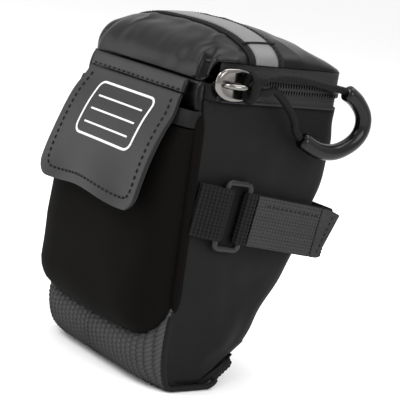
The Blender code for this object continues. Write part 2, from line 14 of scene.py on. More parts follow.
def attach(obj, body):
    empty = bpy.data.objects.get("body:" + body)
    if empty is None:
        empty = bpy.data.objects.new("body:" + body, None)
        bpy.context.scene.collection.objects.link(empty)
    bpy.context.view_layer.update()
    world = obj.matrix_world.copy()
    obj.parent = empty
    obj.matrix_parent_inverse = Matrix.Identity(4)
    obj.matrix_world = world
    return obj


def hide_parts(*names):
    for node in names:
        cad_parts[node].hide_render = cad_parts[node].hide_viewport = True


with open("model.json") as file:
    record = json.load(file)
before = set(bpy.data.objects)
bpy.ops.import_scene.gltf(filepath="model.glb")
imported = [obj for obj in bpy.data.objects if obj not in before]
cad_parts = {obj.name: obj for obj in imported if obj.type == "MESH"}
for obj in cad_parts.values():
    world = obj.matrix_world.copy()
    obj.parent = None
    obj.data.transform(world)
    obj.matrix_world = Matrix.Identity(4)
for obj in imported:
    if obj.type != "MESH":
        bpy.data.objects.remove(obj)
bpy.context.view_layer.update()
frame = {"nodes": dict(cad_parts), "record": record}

MM = 0.001
BACK_FACE = Vector((0, 64, 124)) * MM   # the record's back_face mount, in the pouch's frame
MOUNT = next(m for m in frame["record"]["mounts"] if m["name"] == "back_face")
SHIFT = Vector(MOUNT["pos_m"]) - BACK_FACE
INSIDE = Vector((0, 20, 85)) * MM       # a point well inside the pouch
STRAP_Y, STRAP_Z = 5.5, 86.5            # where the ring sits on the right side
STRAP_SLOPE = math.radians(-8.0)
RING_TILT = math.radians(-5.0)


def at(x, y, z):
    """Pouch millimetres as a point of the CAD frame."""
    return Vector((x, y, z)) * MM + SHIFT


# ---------------------------------------------------------------- camera and light

VIEW_BACK = Vector((0.7812, -0.5952, 0.1883))   # from the pouch towards the camera
VIEW_RIGHT = Vector((0.5736, 0.8036, 0.1597))
VIEW_CENTRE = (0, 26.4, 81.1)
VIEW_DISTANCE = 0.73
LENS = 130.5


def set_camera():
    back = VIEW_BACK.normalized()
    right = (VIEW_RIGHT - back * VIEW_RIGHT.dot(back)).normalized()
    up = back.cross(right)
    data = bpy.data.cameras.new("camera")
    data.lens = LENS
    data.clip_end = 20
    camera = bpy.data.objects.new("camera", data)
    bpy.context.scene.collection.objects.link(camera)
    turn = Matrix((right, up, back)).transposed().to_4x4()
    camera.matrix_world = Matrix.Translation(at(*VIEW_CENTRE) + back * VIEW_DISTANCE) @ turn
    bpy.context.scene.camera = camera


def area_light(name, place, power, size):
    data = bpy.data.lights.new(name, "AREA")
    data.energy = power
    data.size = size
    lamp = bpy.data.objects.new(name, data)
    bpy.context.scene.collection.objects.link(lamp)
    lamp.location = place
    lamp.rotation_euler = (at(0, 20, 80) - lamp.location).to_track_quat("-Z", "Y").to_euler()


def set_light():
    world = bpy.data.worlds.new("studio")
    world.use_nodes = True
    background = world.node_tree.nodes["Background"]
    background.inputs["Color"].default_value = (1, 1, 1, 1)
    background.inputs["Strength"].default_value = 1.0
    bpy.context.scene.world = world
    bpy.context.scene.view_settings.view_transform = "Standard"
    area_light("key", Vector((-0.35, -0.75, 0.85)), 9, 0.6)
    area_light("side", Vector((1.1, -0.1, 0.55)), 7, 0.7)
    area_light("left", Vector((-0.95, -0.85, 0.25)), 2.5, 0.5)
    area_light("top", Vector((0.1, 0.3, 1.1)), 7, 0.8)
    mesh = bpy.data.meshes.new("floor")
    reach = 6.0
    low = at(0, 0, -0.1).z
    mesh.from_pydata([(-reach, -reach, low), (reach, -reach, low), (reach, reach, low),
                      (-reach, reach, low)], [], [(0, 1, 2, 3)])
    floor = bpy.data.objects.new("floor", mesh)
    bpy.context.scene.collection.objects.link(floor)
    paper = bpy.data.materials.new("paper")
    paper.use_nodes = True
    shader = paper.node_tree.nodes["Principled BSDF"]
    shader.inputs["Base Color"].default_value = (0.93, 0.93, 0.93, 1)
    shader.inputs["Roughness"].default_value = 0.9
    mesh.materials.append(paper)


# ---------------------------------------------------------------- materials

BAND_SPACING = 0.3142   # metres between the wave texture's bands at scale 1


def grey(level, warmth=0.0):
    """A near-neutral colour from its linear level."""
    return (level * (1 + warmth), level, level * (1 - warmth), 1)


def cloth(name, level, rough, threads=(0.5, 0.5), axes="yz", rise=0.1, spread=0.18,
          sheen=0.0, warmth=0.0, turn=0.0, grain=0.5, metal=0.0, specular=0.5, relief_shade=0.0):
    """A material with crossed threads, fibre grain and slow colour variation.

    level is its linear grey, threads are spacings in mm along the two axes (0 for none), rise is
    the bump in mm, spread is how far dark and light parts differ, and the last argument is how much
    of the colour is painted shade from the mesh's shape: darker in its grooves, lighter on its ribs.
    """
    made = bpy.data.materials.new(name)
    made.use_nodes = True
    tree = made.node_tree
    shader = tree.nodes["Principled BSDF"]
    fixed = {"Sheen Weight": sheen, "Sheen Roughness": 0.4, "Metallic": metal,
             "Specular IOR Level": specular}
    for key, value in fixed.items():
        shader.inputs[key].default_value = value

    def node(kind, **values):
        fresh = tree.nodes.new(kind)
        for key, value in values.items():
            setattr(fresh, key, value)
        return fresh

    def math_node(operation, a, b):
        fresh = node("ShaderNodeMath", operation=operation)
        for socket, value in zip(fresh.inputs, (a, b)):
            if isinstance(value, (int, float)):
                socket.default_value = value
            else:
                tree.links.new(value, socket)
        return fresh.outputs[0]

    place = node("ShaderNodeTexCoord").outputs["Object"]
    mapping = node("ShaderNodeMapping")
    mapping.inputs["Rotation"].default_value = (turn, 0, 0)
    tree.links.new(place, mapping.inputs["Vector"])
    place = mapping.outputs["Vector"]

    def noisy(scale, detail):
        fresh = node("ShaderNodeTexNoise")
        fresh.inputs["Scale"].default_value = scale
        fresh.inputs["Detail"].default_value = detail
        tree.links.new(place, fresh.inputs["Vector"])
        return fresh.outputs["Fac"]

    slow, fine = noisy(42, 3), noisy(1300, 2)
    height = math_node("MULTIPLY", fine, grain)
    for spacing, axis in zip(threads, axes):
        if not spacing:
            continue
        wave = node("ShaderNodeTexWave", wave_type="BANDS", wave_profile="SIN",
                    bands_direction=axis.upper())
        wave.inputs["Scale"].default_value = BAND_SPACING / (spacing * MM)
        wave.inputs["Distortion"].default_value = 0.4
        tree.links.new(place, wave.inputs["Vector"])
        height = math_node("ADD", height, math_node("MULTIPLY", wave.outputs["Fac"], 0.5))
    tone = math_node("ADD", math_node("MULTIPLY", slow, 0.65), math_node("MULTIPLY", height, 0.3))
    # Painted shade: part of the colour follows a tone stored on the mesh, darker in its grooves and
    # lighter on its ribs and dots.
    if relief_shade:
        raised = node("ShaderNodeAttribute", attribute_name="relief_shade").outputs["Fac"]
        tone = math_node("ADD", math_node("MULTIPLY", tone, 1 - relief_shade),
                         math_node("MULTIPLY", raised, relief_shade))
    mix = node("ShaderNodeMix", data_type="RGBA")
    mix.inputs[6].default_value = grey(level * (1 - spread), warmth)
    mix.inputs[7].default_value = grey(level * (1 + spread), warmth)
    tree.links.new(tone, mix.inputs[0])
    tree.links.new(mix.outputs[2], shader.inputs["Base Color"])
    roughness = math_node("ADD", math_node("MULTIPLY", slow, 0.14), rough - 0.07)
    tree.links.new(roughness, shader.inputs["Roughness"])
    bump = node("ShaderNodeBump")
    bump.inputs["Strength"].default_value = 0.7
    bump.inputs["Distance"].default_value = rise * MM
    tree.links.new(height, bump.inputs["Height"])
    tree.links.new(bump.outputs["Normal"], shader.inputs["Normal"])
    return made


LOOKS = {
    "softshell": cloth("softshell", 0.0048, 0.6, (0.6, 0.6), "yz", 0.09, 0.95, sheen=0.01,
                       specular=0.1),
    "backing": cloth("back_mesh", 0.012, 0.9, (1.6, 1.6), "xz", 0.35, 0.4, sheen=0.02,
                     specular=0.12),
    "neoprene": cloth("neoprene", 0.0026, 0.88, (0.4, 0.4), "xz", 0.04, 0.35, sheen=0.006,
                      warmth=0.12, specular=0.04),
    "vinyl": cloth("vinyl", 0.0052, 0.45, (0, 0), "xz", 0.05, 0.15, grain=1.0, specular=0.24),
    "coated_nylon": cloth("coated_nylon", 0.0028, 0.3, (0.5, 0.5), "xy", 0.04, 0.3,
                          specular=0.12),
    # Part of the webbing's colour is painted shade: darker between its dots, lighter on them.
    "webbing": cloth("webbing", 0.0085, 0.78, (0, 0), "yz", 0.25, 0.92, relief_shade=0.85,
                     turn=-STRAP_SLOPE, specular=0.08),
    # Part of the wrap's colour is painted shade: darker in its grooves, lighter on its ribs.
    "wrap": cloth("wrap", 0.036, 0.75, (0, 1.1), "xz", 0.3, 0.85, specular=0.1,
                  relief_shade=0.8),
    "hem": cloth("hem", 0.007, 0.8, (1.2, 0.7), "xz", 0.16, 0.4, sheen=0.02, specular=0.12),
    "tape": cloth("tape", 0.019, 0.72, (0.9, 0.9), "yz", 0.12, 0.4, sheen=0.02, specular=0.16),
    "border": cloth("border", 0.006, 0.8, (1.2, 1.2), "xy", 0.22, 0.5, sheen=0.02,
                    specular=0.14),
    "foam": cloth("foam", 0.08, 0.95, (0, 0), "xy", 0.3, 0.1, grain=1.2, specular=0.2),
    "lining_cloth": cloth("lining_cloth", 0.03, 0.8, (0.6, 0.6), "yz", 0.06, 0.25, sheen=0.04,
                          specular=0.16),
    # Part of the knit's colour is painted shade: darker between its dots, lighter on them.
    "knit": cloth("knit", 0.032, 0.9, (0.9, 0.9), "yz", 0.5, 0.85, grain=1.2,
                  turn=-STRAP_SLOPE, specular=0.06, relief_shade=0.6),
    "pile": cloth("pile", 0.026, 0.92, (0.7, 0.7), "yz", 0.5, 0.7, grain=1.4, turn=-STRAP_SLOPE,
                  specular=0.08),
    "nickel": cloth("nickel", 0.17, 0.12, (0, 0), "xy", 0.01, 0.08, warmth=0.05, metal=1.0),
    "plastic": cloth("plastic", 0.005, 0.36, (0, 0), "xy", 0.02, 0.2, grain=0.7, specular=0.3),
    "rubber": cloth("rubber", 0.002, 0.2, (0, 0), "xy", 0.012, 0.2, grain=0.6, specular=0.24),
    "braid": cloth("braid", 0.0028, 0.6, (0.7, 0.7), "yz", 0.2, 0.8, specular=0.12),
    "reflective": cloth("reflective", 0.12, 0.38, (0.45, 0.45), "xy", 0.03, 0.1, specular=0.25),
    "thread": cloth("thread", 0.005, 0.7, (0, 0), "xy", 0.02, 0.3, specular=0.15),
    "white_print": cloth("white_print", 0.62, 0.6, (0, 0), "xy", 0.01, 0.06, specular=0.3),
}


# ---------------------------------------------------------------- mesh helpers

def piece(name, shape, look, body, replaced=(), smooth=True):
    """A bmesh in the CAD frame as an object with its finish, on its body."""
    mesh = bpy.data.meshes.new(name)
    for face in shape.faces:
        face.smooth = smooth
    shape.to_mesh(mesh)
    shape.free()
    mesh.materials.append(LOOKS[look])
    made = bpy.data.objects.new(name, mesh)
    bpy.context.scene.collection.objects.link(made)
    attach(made, body)
    if replaced:
        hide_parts(*replaced)
    return made


def grid(rows):
    """Faces through rows of points in pouch millimetres; a fourth value is the point's tone for
    painted shade, low in grooves and high on ribs.
    """
    shape = bmesh.new()
    relief_shade = shape.verts.layers.float.new("relief_shade")
    made = []
    for row in rows:
        made.append([shape.verts.new(at(*point[:3])) for point in row])
        for vertex, point in zip(made[-1], row):
            vertex[relief_shade] = point[3] if len(point) > 3 else 0.5
    for low, high in zip(made, made[1:]):
        for i in range(len(low) - 1):
            shape.faces.new((low[i], low[i + 1], high[i + 1], high[i]))
    return shape


def join_rings(shape, rings, cyclic=False):
    """Faces between rings of vertices, with a cap on each end unless the last meets the first."""
    pairs = list(zip(rings, rings[1:]))
    if cyclic:
        pairs.append((rings[-1], rings[0]))
    for low, high in pairs:
        count = len(low)
        for k in range(count):
            n = (k + 1) % count
            shape.faces.new((low[k], low[n], high[n], high[k]))
    if not cyclic:
        shape.faces.new(rings[0][::-1])
        shape.faces.new(rings[-1])


def sheet_piece(name, rows, look, body, thickness, replaced=()):
    """An open surface given thickness on the side towards the middle of the pouch."""
    shape = grid(rows)
    shape.normal_update()
    middle = INSIDE + SHIFT
    facing = sum((v.co - middle).dot(v.normal) for v in shape.verts)
    if facing < 0:
        bmesh.ops.reverse_faces(shape, faces=shape.faces)
    made = piece(name, shape, look, body, replaced)
    wall = made.modifiers.new("wall", "SOLIDIFY")
    wall.thickness = thickness * MM
    wall.offset = -1.0
    return made


def closed_piece(name, shape, look, body, replaced=(), smooth=True):
    """A closed bmesh turned to face outwards and made into a piece."""
    bmesh.ops.recalc_face_normals(shape, faces=shape.faces)
    return piece(name, shape, look, body, replaced, smooth)


def along(points, step):
    """A smooth curve through the points, as points this far apart."""
    points = [Vector(p) for p in points]
    fine = []
    for i in range(len(points) - 1):
        a = points[max(i - 1, 0)]
        b, c = points[i], points[i + 1]
        d = points[min(i + 2, len(points) - 1)]
        for k in range(16):
            t = k / 16
            fine.append(0.5 * ((2 * b) + (c - a) * t + (2 * a - 5 * b + 4 * c - d) * t * t
                               + (3 * b - a - 3 * c + d) * t ** 3))
    fine.append(points[-1])
    return spaced(fine, step)


def spaced(points, step):
    """Points at even distances along a polyline."""
    points = [Vector(p) for p in points]
    reach = [0.0]
    for a, b in zip(points, points[1:]):
        reach.append(reach[-1] + (b - a).length)
    count = max(2, round(reach[-1] / step))
    made, k = [], 0
    for i in range(count + 1):
        want = reach[-1] * i / count
        while k < len(points) - 2 and reach[k + 1] < want:
            k += 1
        span = max(reach[k + 1] - reach[k], 1e-9)
        made.append(points[k].lerp(points[k + 1], (want - reach[k]) / span))
    return made


TUBE_SIDES = 14


def sweep(path, section, cyclic=False):
    """A closed tube along path; section(i, angle) is its radius there."""
    path = [Vector(p) for p in path]
    count = len(path)
    shape = bmesh.new()
    rings = []
    normal = None
    for i, point in enumerate(path):
        ahead = path[(i + 1) % count] if cyclic or i < count - 1 else point
        behind = path[i - 1] if cyclic or i else point
        forward = (ahead - behind).normalized()
        if normal is None:
            normal = forward.orthogonal().normalized()
        normal = (normal - forward * normal.dot(forward)).normalized()
        other = forward.cross(normal)
        ring = []
        for k in range(TUBE_SIDES):
            angle = 2 * math.pi * k / TUBE_SIDES
            reach = section(i, angle)
            out = point + normal * math.cos(angle) * reach + other * math.sin(angle) * reach
            ring.append(shape.verts.new(at(*out)))
        rings.append(ring)
    join_rings(shape, rings, cyclic)
    return shape


def round_ends(count, radius, cap=3):
    """A radius that closes in over the last few rings of a tube."""
    def section(i, _angle):
        edge = min(i, count - 1 - i)
        if edge >= cap:
            return radius
        share = (edge + 0.3) / (cap + 0.3)
        return radius * math.sqrt(1 - (1 - share) ** 2)
    return section


CORD_STEP = 0.6


def braided(radius):
    """A round braid of eight strands, for a path of points CORD_STEP apart."""
    def section(i, angle):
        turn = i * CORD_STEP / radius * 2.2
        return radius * (0.96 + 0.07 * math.sin(4 * angle + turn) * math.sin(4 * angle - turn))
    return section


def stitch_row(name, path, outward, body, pitch=3.3, length=2.1, width=0.34):
    """Short raised stitches along a path, which lies on a surface that faces outward(point)."""
    shape = bmesh.new()
    path = spaced(path, pitch)
    for a, b in zip(path, path[1:]):
        middle = (a + b) / 2
        forward = (b - a).normalized()
        normal = outward(middle)
        side = forward.cross(normal).normalized()
        ends = [shape.verts.new(at(*(middle + forward * length / 2 * s))) for s in (-1, 1)]
        rings = []
        for s in (-1, 1):
            centre = middle + forward * length * 0.32 * s
            rings.append([shape.verts.new(at(*(centre + side * width * math.cos(q)
                                               + normal * width * 0.8 * math.sin(q))))
                          for q in (math.pi * k / 3 for k in range(6))])
        for k in range(6):
            n = (k + 1) % 6
            shape.faces.new((rings[0][k], rings[0][n], rings[1][n], rings[1][k]))
            shape.faces.new((ends[0], rings[0][n], rings[0][k]))
            shape.faces.new((ends[1], rings[1][k], rings[1][n]))
    return closed_piece(name, shape, "thread", body)


def ripple(x, y, z, size, amount):
    """Smooth noise of this size in mm, at most about amount high."""
    return noise.noise(Vector((x, y, z)) / size) * amount


def smooth_step(value, low, high):
    """0 below low, 1 above high and eased between them."""
    t = min(1.0, max(0.0, (value - low) / (high - low)))
    return t * t * (3 - 2 * t)


def hump(value, middle, width, power=2):
    """1 at the middle, falling off on both sides."""
    return math.exp(-((value - middle) / width) ** power)


def between(value, table):
    """Straight-line interpolation in a short table of (key, value) pairs."""
    for (a, low), (b, high) in zip(table, table[1:]):
        if value <= b:
            return low + (high - low) * (value - a) / (b - a)
    return table[-1][1]


# ---------------------------------------------------------------- body

HALF = 50.0
BACK_Y = 64.0
RIM_Z = 139.0
RIM_RADIUS = 9.0
CORNER = 7.0
PANEL_LOW, PANEL_TALL = 3.2, 136.0
BACK_HALF = 38.5


def front_y(z):
    return -18.0 + 4.0 * (RIM_Z - z) / RIM_Z


def back_y(z):
    if z < 22:
        return 8.5 + (z - 3) * 22.3 / 19
    return BACK_Y - 46.4 * max(0.0, 1 - z / 110) ** 1.5


def nose_front(z):
    """Front edge of the side, rounded in at the nose."""
    drop = max(0.0, 10 - z)
    return front_y(z) + CORNER - math.sqrt(max(0.0, CORNER ** 2 - drop ** 2))


def side_puff(y, z):
    """Padding swells the panel between its seams and gives way under the strap."""
    low, high = nose_front(z), back_y(z)
    edge = smooth_step(min(y - low, high - y), 0, 22) * smooth_step(min(z - 3, RIM_Z - z), 0, 18)
    strap = 1 - smooth_step(abs(z - STRAP_Z + 0.14 * (y - STRAP_Y)), 14, 24)
    drape = 0.8 * math.sin((y + 0.55 * z) / 9.0) * smooth_step(z, 104, 128)
    drape += 0.6 * math.sin((z - 0.8 * y) / 7.0) * (1 - smooth_step(z, 40, 64))
    wander = ripple(y, z, 7.3, 26, 2.6) + ripple(y * 1.3, z, 2.2, 12, 0.9)
    return (1.5 + drape + wander) * edge * (1 - strap) + 0.35 * edge * strap


def back_wave(z):
    """The back edge is stuffed by hand and wanders a little."""
    calm = smooth_step(min(z - 20, RIM_Z - z), 0, 14)
    return calm * (0.9 * math.sin(z / 8.3) + 0.5 * math.sin(z / 3.9 + 1.0))


def side_panel(name, side, replaced):
    """One padded side, turned round its back corner."""
    rows = []
    for j in range(57):
        z = PANEL_LOW + PANEL_TALL * j / 56
        low, high = nose_front(z), back_y(z) + back_wave(z)
        radius = min(CORNER, max(1.0, (high - low) / 3))
        row = []
        for i in range(29):
            y = low + (high - radius - low) * i / 28
            row.append((side * (HALF + side_puff(y, z)), y, z))
        for i in range(1, 9):
            angle = math.pi / 2 * i / 8
            row.append((side * (HALF - radius + radius * math.cos(angle)),
                        high - radius + radius * math.sin(angle), z))
        row.append((side * (HALF - radius - 5.0), high + 0.1, z))
        rows.append(row)
    made = sheet_piece(name, rows, "softshell", "pouch", 1.2, replaced)


def make_body():
    side_panel("right_side_padding", 1, ("right_side_panel",))
    side_panel("left_side_padding", -1, ("left_side_panel",))
    rows = []
    for j in range(49):
        z = 4.0 + 135.0 * j / 48
        row = []
        for i in range(33):
            x = BACK_HALF * (2 * i / 32 - 1)
            edge = smooth_step(BACK_HALF - abs(x), 0, 12) * smooth_step(min(z - 4, RIM_Z - z), 0, 12)
            channel = abs(math.sin(math.pi * z / 33)) ** 0.5
            swell = edge * (1.5 * channel + ripple(x, z, 2, 24, 0.4))
            row.append((x, back_y(z) + back_wave(z) + 0.3 + swell, z))
        rows.append(row)
    sheet_piece("back_padding", rows, "backing", "pouch", 1.2, ("back_panel",))
    rows = [[(x, front_y(z) - 0.1 - 0.2 * math.sin(x / 9), z) for x in range(-49, 50, 7)]
            for z in range(12, 140, 6)]
    sheet_piece("front_wall", rows, "softshell", "pouch", 1.0, ("front_panel",))
    for name, side in (("back_piping_right", 1), ("back_piping_left", -1)):
        path = along([(side * 38.4, back_y(z) + back_wave(z) + 0.5, z) for z in range(8, 140, 6)], 1.5)
        closed_piece(name, sweep(path, round_ends(len(path), 0.9)), "softshell", "pouch")


def rim_route(outward, start, step=1.5):
    """Points and outward directions round three sides of the rim, right to left."""
    radius = RIM_RADIUS + outward
    reach = HALF + outward
    path = [(reach, start)]
    for side, turn in ((1, 0.0), (-1, math.pi / 2)):
        for k in range(13):
            angle = turn + math.pi / 2 * k / 12
            path.append((side * (HALF - RIM_RADIUS) + radius * math.cos(angle),
                         BACK_Y - RIM_RADIUS + radius * math.sin(angle)))
    path.append((-reach, start))
    path = spaced([(x, y, 0) for x, y in path], step)
    made = []
    for i, here in enumerate(path):
        forward = path[min(i + 1, len(path) - 1)] - path[max(i - 1, 0)]
        made.append((here, Vector((forward.y, -forward.x, 0)).normalized()))
    return made


# ---------------------------------------------------------------- wrap

WRAP_MIDDLE = ((-21.0, 25.0), (-26.4, 23.8), (-28.4, 20.0), (-27.8, 14.0), (-23.8, 6.0),
               (-16.5, 1.5))
WRAP_EDGE = ((-18.6, 41.0), (-19.2, 31.0), (-19.3, 22.0), (-18.8, 14.0), (-17.2, 6.0),
             (-13.8, 1.6))
WRAP_BELOW = ((-10.0, 0.0), (7.5, 0.0), (11.2, 1.1), (14.3, 3.6))
WRAP_TAB = ((15.1, 3.9), (19.0, 7.4), (22.9, 11.0), (22.8, 13.2), (20.6, 14.4))
NOSE_FILL = ((5.0, 1.8), (13.6, 2.8), (21.0, 10.2), (21.0, 13.2), (23.4, 16.6), (15.0, 9.6),
             (7.0, 4.4))
WRAP_HALF = 50.5
RIB_PITCH = 3.7
RIB_STEP = 0.6
WEAVE_PITCH = 2.2


def ribbed_rows(middle, edge, half):
    """Rows across a panel whose ribs run along its profile, from the middle's to the edge's."""
    count = 216
    inner = along([(0, y, z) for y, z in middle], RIB_STEP)
    outer = along([(0, y, z) for y, z in edge], RIB_STEP)
    steps = min(len(inner), len(outer))
    inner = spaced(inner, (len(inner) - 1) * RIB_STEP / steps)[:steps]
    outer = spaced(outer, (len(outer) - 1) * RIB_STEP / steps)[:steps]
    rows = []
    for j in range(steps):
        a, b = inner[j], outer[j]
        ahead = inner[min(j + 1, steps - 1)] - inner[max(j - 1, 0)]
        normal = Vector((0, ahead.z, -ahead.y)).normalized()
        row = []
        for i in range(count + 1):
            x = half * (1 - 2 * i / count)
            here = a.lerp(b, abs(x / half) ** 8)
            groove = (1 - abs(math.sin(math.pi * x / RIB_PITCH)) ** 0.6) * 0.9
            shift = math.pi if math.floor(x / RIB_PITCH) % 2 else 0.0
            weave = 0.24 * (1 + math.sin(2 * math.pi * j * RIB_STEP / WEAVE_PITCH + shift))
            here = here + normal * (groove + 0.1 + weave)
            # Painted shade in the grooves: the tone is lower in the grooves and where the weave term
            # is large, higher on the ribs.
            high = min(1.0, max(0.0, 1 - (groove + weave * 1.6) / 1.5))
            row.append((x, here.y, max(0.02, here.z), high))
        rows.append(row)
    return rows


def make_wrap():
    middle = WRAP_MIDDLE + WRAP_BELOW
    edge = WRAP_EDGE + WRAP_BELOW
    sheet_piece("wrap_ribs", ribbed_rows(middle, edge, WRAP_HALF), "wrap", "pouch", 2.0,
                ("ribbed_wrap",))
    edge_by_height = tuple((z, y) for y, z in WRAP_EDGE[::-1]) + ((60.0, -18.4),)
    for name, side in (("nose_gusset_right", 1), ("nose_gusset_left", -1)):
        rows = []
        for k in range(23):
            z = 1.2 + 39 * k / 22
            out = between(z, edge_by_height)
            rows.append([(side * (49.7 + 0.4 * math.sin(math.pi * i / 6)),
                          out + 0.6 + (nose_front(z) + 3 - out) * i / 6, z) for i in range(7)])
        sheet_piece(name, rows, "softshell", "pouch", 1.0)
    rows = []
    for share in (0.0, 0.5, 1.0):
        row = []
        for x in range(-49, 50, 2):
            lip = -26.8 + 8.6 * abs(x / WRAP_HALF) ** 8
            row.append((x, lip + share * (-15.0 - lip), 22.0 + 0.8 * share))
        rows.append(row)
    sheet_piece("pocket_foot", rows, "neoprene", "pouch", 1.0)
    shape = bmesh.new()
    rings = [[shape.verts.new(at(x, y, z)) for y, z in NOSE_FILL] for x in (-49.3, 49.3)]
    join_rings(shape, rings)
    closed_piece("nose_fill", shape, "softshell", "pouch", smooth=False)
    sheet_piece("wrap_tab_ribs", ribbed_rows(WRAP_TAB, WRAP_TAB, 49.8), "hem", "pouch", 3.6,
                ("wrap_end_tab",))
    for name, side, old in (("wrap_edge_right", 1, "wrap_binding_right"),
                            ("wrap_edge_left", -1, "wrap_binding_left")):
        path = along([(side * 50.4, -18.0, 37.5)]
                     + [(side * 51.2, y + 0.9 if z > 3 else y, max(z + 0.9, 1.5))
                        for y, z in edge if z < 35], 1.2)
        closed_piece(name, sweep(path, round_ends(len(path), 1.35)), "border", "pouch", (old,))


# ---------------------------------------------------------------- pocket

POCKET_BULGE = ((23.2, 1.0), (23.6, 9.0), (26.0, 15.0), (31.0, 20.0), (38.0, 22.4),
                (64.0, 21.6), (90.0, 17.8), (105.0, 15.5), (115.0, 12.5), (125.4, 8.5),
                (133.6, 5.2))
POCKET_POWER = 4.6
POCKET_FOOT = 23.2
POCKET_CORNER = 18.0


def pocket_half(z):
    """Half the pocket's width at height z, rounded in at its lower corners."""
    drop = max(0.0, POCKET_FOOT + POCKET_CORNER - z)
    return HALF - POCKET_CORNER + math.sqrt(max(0.0, POCKET_CORNER ** 2 - drop ** 2))


def pocket_point(angle, z, proud):
    """A point of the pocket at an angle across it, proud of its padding."""
    c, s = math.cos(angle), math.sin(angle)
    across = math.copysign(abs(c) ** (2 / POCKET_POWER), c)
    out = abs(s) ** (2 / POCKET_POWER)
    depth = between(z, POCKET_BULGE) + proud
    return (across * pocket_half(z), front_y(z) - 0.9 - depth * out, z)


def pocket_heights():
    fine = [POCKET_FOOT, 23.4, 23.8, 24.6, 25.6, 27, 28.6, 30.5, 33, 36]
    return fine + [40 + 2.6 * k for k in range(33)] + [125.4]


def make_pocket():
    rows = []
    for z in pocket_heights():
        row = []
        for i in range(61):
            angle = math.pi * (1 - i / 60)
            x, y, _ = pocket_point(angle, z, 0.0)
            calm = 0.15 if z > 84 else 1.0
            slump = 0.9 * smooth_step(z, 28, 50) * (1 - smooth_step(z, 60, 84))
            row.append(pocket_point(angle, z, calm * ripple(x, z, 4.1, 21, 1.1) - 0.3 * slump))
        rows.append(row)
    made = sheet_piece("pocket_padding", rows, "neoprene", "pouch", 2.0, ("pocket_pouch",))
    rows = []
    for k in range(17):
        share = k / 16
        z = 126.2 + 7.6 * share
        fold = 0.5 + 0.7 * math.sin(math.pi * share) ** 0.5
        rows.append([pocket_point(math.pi * (1 - i / 60), z, fold + 0.12 * math.sin(i))
                     for i in range(61)])
    sheet_piece("pocket_binding", rows, "hem", "pouch", 1.4, ("pocket_hem",))
    for name, side in (("pocket_seam_right", 1), ("pocket_seam_left", -1)):
        heights = (39, 46, 60, 75, 90, 105, 118, 132)
        path = along([(side * 49.9, front_y(z) - 1.1, z) for z in heights], 1.5)
        closed_piece(name, sweep(path, round_ends(len(path), 2.7, 6)), "neoprene", "pouch")
    path = [Vector(pocket_point(math.pi * (1 - i / 80), 128.0, 1.3)) for i in range(2, 79)]
    stitch_row("pocket_stitching", path, lambda p: Vector((0, -1, 0)), "pouch", 2.6, 1.6, 0.25)


# ---------------------------------------------------------------- flap

FLAP_PATH = ((-24.2, 140.2), (-27.6, 132.5), (-32.2, 124.0), (-36.6, 113.5), (-39.8, 103.0),
             (-41.6, 94.0), (-42.3, 88.0), (-42.9, 84.8))
FLAP_STEP = 0.5
FLAP_LINE = along([(0, y, z) for y, z in FLAP_PATH], FLAP_STEP)
FLAP_LENGTH = FLAP_STEP * (len(FLAP_LINE) - 1)
FLAP_HALF = 42.2
FLAP_CORNER = 8.0
STITCH_INSET = 5.4
BAND_HALF = 39.6


def flap_at(x, run, lift=0.0):
    """A point of the flap, run millimetres down from its hinge, and lifted off it."""
    share = min(1.0, max(0.0, run / FLAP_LENGTH)) * (len(FLAP_LINE) - 1)
    k = min(int(share), len(FLAP_LINE) - 2)
    here = FLAP_LINE[k].lerp(FLAP_LINE[k + 1], share - k)
    forward = (FLAP_LINE[k + 1] - FLAP_LINE[k]).normalized()
    normal = Vector((0, forward.z, -forward.y))
    hang = smooth_step(run, 12, FLAP_LENGTH)
    wave = hang * (0.9 * math.sin(x / 8.5 + 0.7) * hang + ripple(x, run, 9.2, 24, 0.9))
    crown = 0.8 * smooth_step(run, 2, 22) * (1 - (x / 43) ** 2)
    curl = 1.3 * hang ** 4 * (x / 43) ** 2
    here = here + normal * (wave + crown + curl + lift)
    dip = hang ** 4 * (1.1 * math.sin(x / 10 + 2.0))
    return Vector((x, here.y, here.z + dip))


def flap_half(run):
    """Half the flap's width, narrower near the band and rounded in at its lower corners."""
    half = FLAP_HALF - 2.7 * (1 - smooth_step(run, 0, 14))
    past = max(0.0, FLAP_CORNER - (FLAP_LENGTH - run))
    return half - FLAP_CORNER + math.sqrt(max(0.0, FLAP_CORNER ** 2 - past ** 2))


def flap_rows(lift, margin):
    """The flap's surface raised by lift, with its edges drawn in by margin."""
    straight = FLAP_LENGTH - FLAP_CORNER
    runs = [k * straight / 40 for k in range(40)]
    runs += [straight + FLAP_CORNER * math.sin(math.pi / 2 * k / 12) for k in range(13)]
    rows = []
    for run in runs:
        half = flap_half(run) - margin
        shown = run - (margin if run > 50 else 0)
        rows.append([tuple(flap_at(half * (1 - i / 30), shown, lift)) for i in range(61)])
    return rows


def face_front(_point):
    """The way the flap and its band face."""
    return Vector((0, -0.95, 0.3)).normalized()


def stroke(points, width, shape):
    """A thin printed line of this width on the flap through (x, run) points."""
    points = [Vector((x, run)) for x, run in points]
    rings = []
    for i, here in enumerate(points):
        forward = points[min(i + 1, len(points) - 1)] - points[max(i - 1, 0)]
        side = Vector((-forward.y, forward.x)).normalized() * width / 2
        corners = ((here - side, 0.02), (here + side, 0.02), (here + side, 0.22), (here - side, 0.22))
        rings.append([shape.verts.new(at(*flap_at(p.x, p.y, lift))) for p, lift in corners])
    join_rings(shape, rings)


